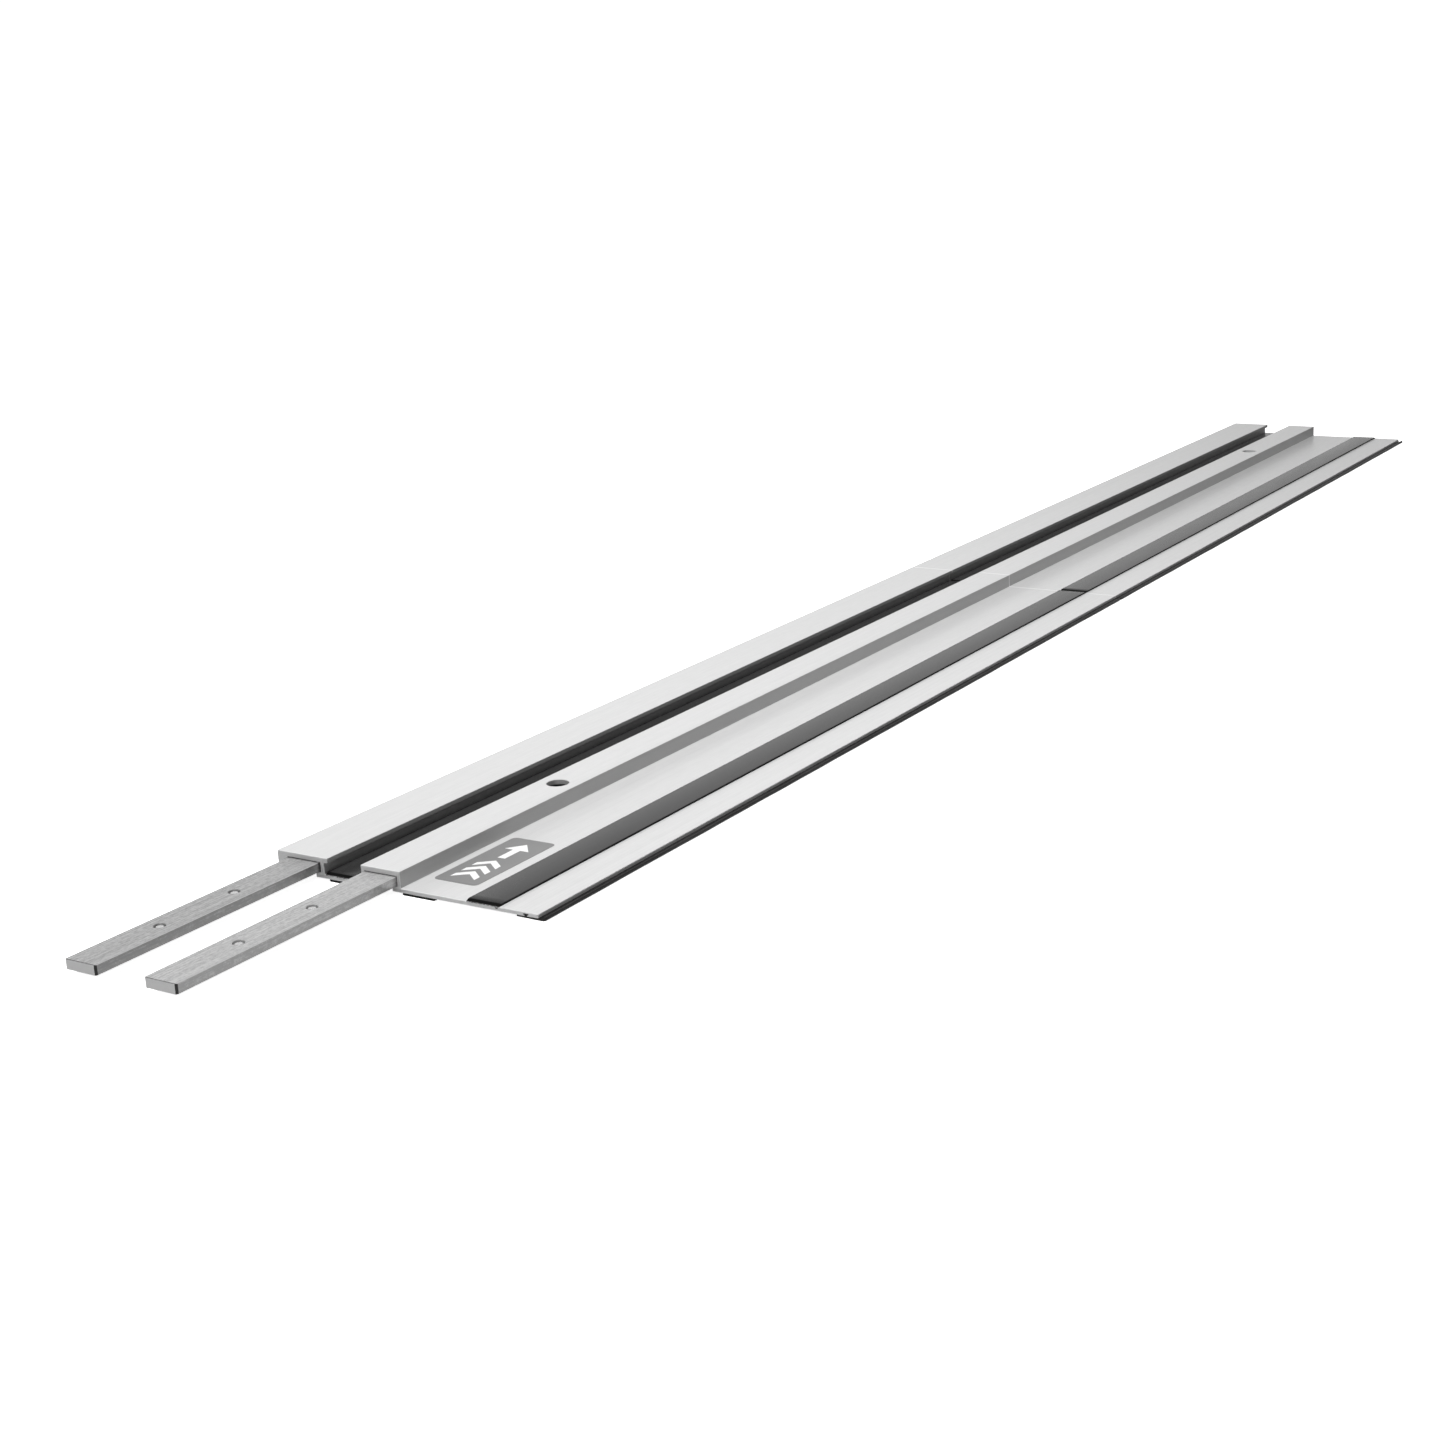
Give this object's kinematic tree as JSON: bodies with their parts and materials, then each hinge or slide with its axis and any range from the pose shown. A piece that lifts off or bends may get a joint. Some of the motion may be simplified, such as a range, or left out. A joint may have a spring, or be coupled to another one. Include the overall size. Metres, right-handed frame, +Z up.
{
  "type": "plunge saw guide rail",
  "caption": "Guide rail for a plunge-cut track saw: aluminium rails joined end to end by steel bars in T-slots, with glide strips, grip strips and a rubber splinter guard.",
  "frame": {"origin": "middle of the underside of the whole set, bars included", "axes": "+X along the rails away from the standing-out bars, +Y from the cut edge to the back edge, +Z up"},
  "size_m": [1.55, 0.1676, 0.012],
  "materials": {
    "rail_aluminium": "satin clear anodised extrusion",
    "bar_steel": "cold-drawn, zinc plated, scuffed",
    "screw_steel": "zinc plated set screw",
    "glide_plastic": "fine lengthwise grain",
    "guard_rubber": "matt extruded rubber",
    "grip_foam": "dense foam rubber",
    "panel_print": "printed grey"
  },
  "bodies": {
    "near_section": {"near_rail": "rail_aluminium", "near_glide_strip": "glide_plastic", "near_channel_strip": "glide_plastic", "near_inner_grip": "grip_foam", "near_channel_grip": "grip_foam", "near_splinter_guard": "guard_rubber", "near_marking_panel": "panel_print"},
    "far_section": {"far_rail": "rail_aluminium", "far_glide_strip": "glide_plastic", "far_channel_strip": "glide_plastic", "far_inner_grip": "grip_foam", "far_channel_grip": "grip_foam", "far_splinter_guard": "guard_rubber"},
    "near_inner_bar": {"near_inner_bar": "bar_steel"},
    "near_inner_bar_screw_1": {"near_inner_bar_screw_1": "screw_steel"},
    "near_inner_bar_screw_2": {"near_inner_bar_screw_2": "screw_steel"},
    "near_inner_bar_screw_3": {"near_inner_bar_screw_3": "screw_steel"},
    "near_inner_bar_screw_4": {"near_inner_bar_screw_4": "screw_steel"},
    "near_outer_bar": {"near_outer_bar": "bar_steel"},
    "near_outer_bar_screw_1": {"near_outer_bar_screw_1": "screw_steel"},
    "near_outer_bar_screw_2": {"near_outer_bar_screw_2": "screw_steel"},
    "near_outer_bar_screw_3": {"near_outer_bar_screw_3": "screw_steel"},
    "near_outer_bar_screw_4": {"near_outer_bar_screw_4": "screw_steel"},
    "joint_inner_bar": {"joint_inner_bar": "bar_steel"},
    "joint_inner_bar_screw_1": {"joint_inner_bar_screw_1": "screw_steel"},
    "joint_inner_bar_screw_2": {"joint_inner_bar_screw_2": "screw_steel"},
    "joint_inner_bar_screw_3": {"joint_inner_bar_screw_3": "screw_steel"},
    "joint_inner_bar_screw_4": {"joint_inner_bar_screw_4": "screw_steel"},
    "joint_outer_bar": {"joint_outer_bar": "bar_steel"},
    "joint_outer_bar_screw_1": {"joint_outer_bar_screw_1": "screw_steel"},
    "joint_outer_bar_screw_2": {"joint_outer_bar_screw_2": "screw_steel"},
    "joint_outer_bar_screw_3": {"joint_outer_bar_screw_3": "screw_steel"},
    "joint_outer_bar_screw_4": {"joint_outer_bar_screw_4": "screw_steel"}
  },
  "joints": [
    {"name": "far_section_slide", "type": "slide", "parent": "near_section", "child": "far_section", "axis": [1, 0, 0], "range_m": [0, 0.16]},
    {"name": "near_inner_bar_slide", "type": "slide", "parent": "near_section", "child": "near_inner_bar", "axis": [1, 0, 0], "range_m": [-0.13, 0.15]},
    {"name": "near_inner_bar_screw_1_turn", "type": "hinge", "parent": "near_inner_bar", "child": "near_inner_bar_screw_1", "pos_m": [-0.72505, 0.01635, 0.006], "axis": [0, 0, 1], "range_deg": [-720, 360]},
    {"name": "near_inner_bar_screw_2_turn", "type": "hinge", "parent": "near_inner_bar", "child": "near_inner_bar_screw_2", "pos_m": [-0.67505, 0.01635, 0.006], "axis": [0, 0, 1], "range_deg": [-720, 360]},
    {"name": "near_inner_bar_screw_3_turn", "type": "hinge", "parent": "near_inner_bar", "child": "near_inner_bar_screw_3", "pos_m": [-0.57505, 0.01635, 0.006], "axis": [0, 0, 1], "range_deg": [-720, 360]},
    {"name": "near_inner_bar_screw_4_turn", "type": "hinge", "parent": "near_inner_bar", "child": "near_inner_bar_screw_4", "pos_m": [-0.52505, 0.01635, 0.006], "axis": [0, 0, 1], "range_deg": [-720, 360]},
    {"name": "near_outer_bar_slide", "type": "slide", "parent": "near_section", "child": "near_outer_bar", "axis": [1, 0, 0], "range_m": [-0.13, 0.15]},
    {"name": "near_outer_bar_screw_1_turn", "type": "hinge", "parent": "near_outer_bar", "child": "near_outer_bar_screw_1", "pos_m": [-0.72505, 0.06635, 0.006], "axis": [0, 0, 1], "range_deg": [-720, 360]},
    {"name": "near_outer_bar_screw_2_turn", "type": "hinge", "parent": "near_outer_bar", "child": "near_outer_bar_screw_2", "pos_m": [-0.67505, 0.06635, 0.006], "axis": [0, 0, 1], "range_deg": [-720, 360]},
    {"name": "near_outer_bar_screw_3_turn", "type": "hinge", "parent": "near_outer_bar", "child": "near_outer_bar_screw_3", "pos_m": [-0.57505, 0.06635, 0.006], "axis": [0, 0, 1], "range_deg": [-720, 360]},
    {"name": "near_outer_bar_screw_4_turn", "type": "hinge", "parent": "near_outer_bar", "child": "near_outer_bar_screw_4", "pos_m": [-0.52505, 0.06635, 0.006], "axis": [0, 0, 1], "range_deg": [-720, 360]},
    {"name": "joint_inner_bar_slide", "type": "slide", "parent": "near_section", "child": "joint_inner_bar", "axis": [1, 0, 0], "range_m": [-0.15, 0.15]},
    {"name": "joint_inner_bar_screw_1_turn", "type": "hinge", "parent": "joint_inner_bar", "child": "joint_inner_bar_screw_1", "pos_m": [-0.025, 0.01635, 0.006], "axis": [0, 0, 1], "range_deg": [-720, 360]},
    {"name": "joint_inner_bar_screw_2_turn", "type": "hinge", "parent": "joint_inner_bar", "child": "joint_inner_bar_screw_2", "pos_m": [0.025, 0.01635, 0.006], "axis": [0, 0, 1], "range_deg": [-720, 360]},
    {"name": "joint_inner_bar_screw_3_turn", "type": "hinge", "parent": "joint_inner_bar", "child": "joint_inner_bar_screw_3", "pos_m": [0.125, 0.01635, 0.006], "axis": [0, 0, 1], "range_deg": [-720, 360]},
    {"name": "joint_inner_bar_screw_4_turn", "type": "hinge", "parent": "joint_inner_bar", "child": "joint_inner_bar_screw_4", "pos_m": [0.175, 0.01635, 0.006], "axis": [0, 0, 1], "range_deg": [-720, 360]},
    {"name": "joint_outer_bar_slide", "type": "slide", "parent": "near_section", "child": "joint_outer_bar", "axis": [1, 0, 0], "range_m": [-0.15, 0.15]},
    {"name": "joint_outer_bar_screw_1_turn", "type": "hinge", "parent": "joint_outer_bar", "child": "joint_outer_bar_screw_1", "pos_m": [-0.025, 0.06635, 0.006], "axis": [0, 0, 1], "range_deg": [-720, 360]},
    {"name": "joint_outer_bar_screw_2_turn", "type": "hinge", "parent": "joint_outer_bar", "child": "joint_outer_bar_screw_2", "pos_m": [0.025, 0.06635, 0.006], "axis": [0, 0, 1], "range_deg": [-720, 360]},
    {"name": "joint_outer_bar_screw_3_turn", "type": "hinge", "parent": "joint_outer_bar", "child": "joint_outer_bar_screw_3", "pos_m": [0.125, 0.06635, 0.006], "axis": [0, 0, 1], "range_deg": [-720, 360]},
    {"name": "joint_outer_bar_screw_4_turn", "type": "hinge", "parent": "joint_outer_bar", "child": "joint_outer_bar_screw_4", "pos_m": [0.175, 0.06635, 0.006], "axis": [0, 0, 1], "range_deg": [-720, 360]}
  ]
}
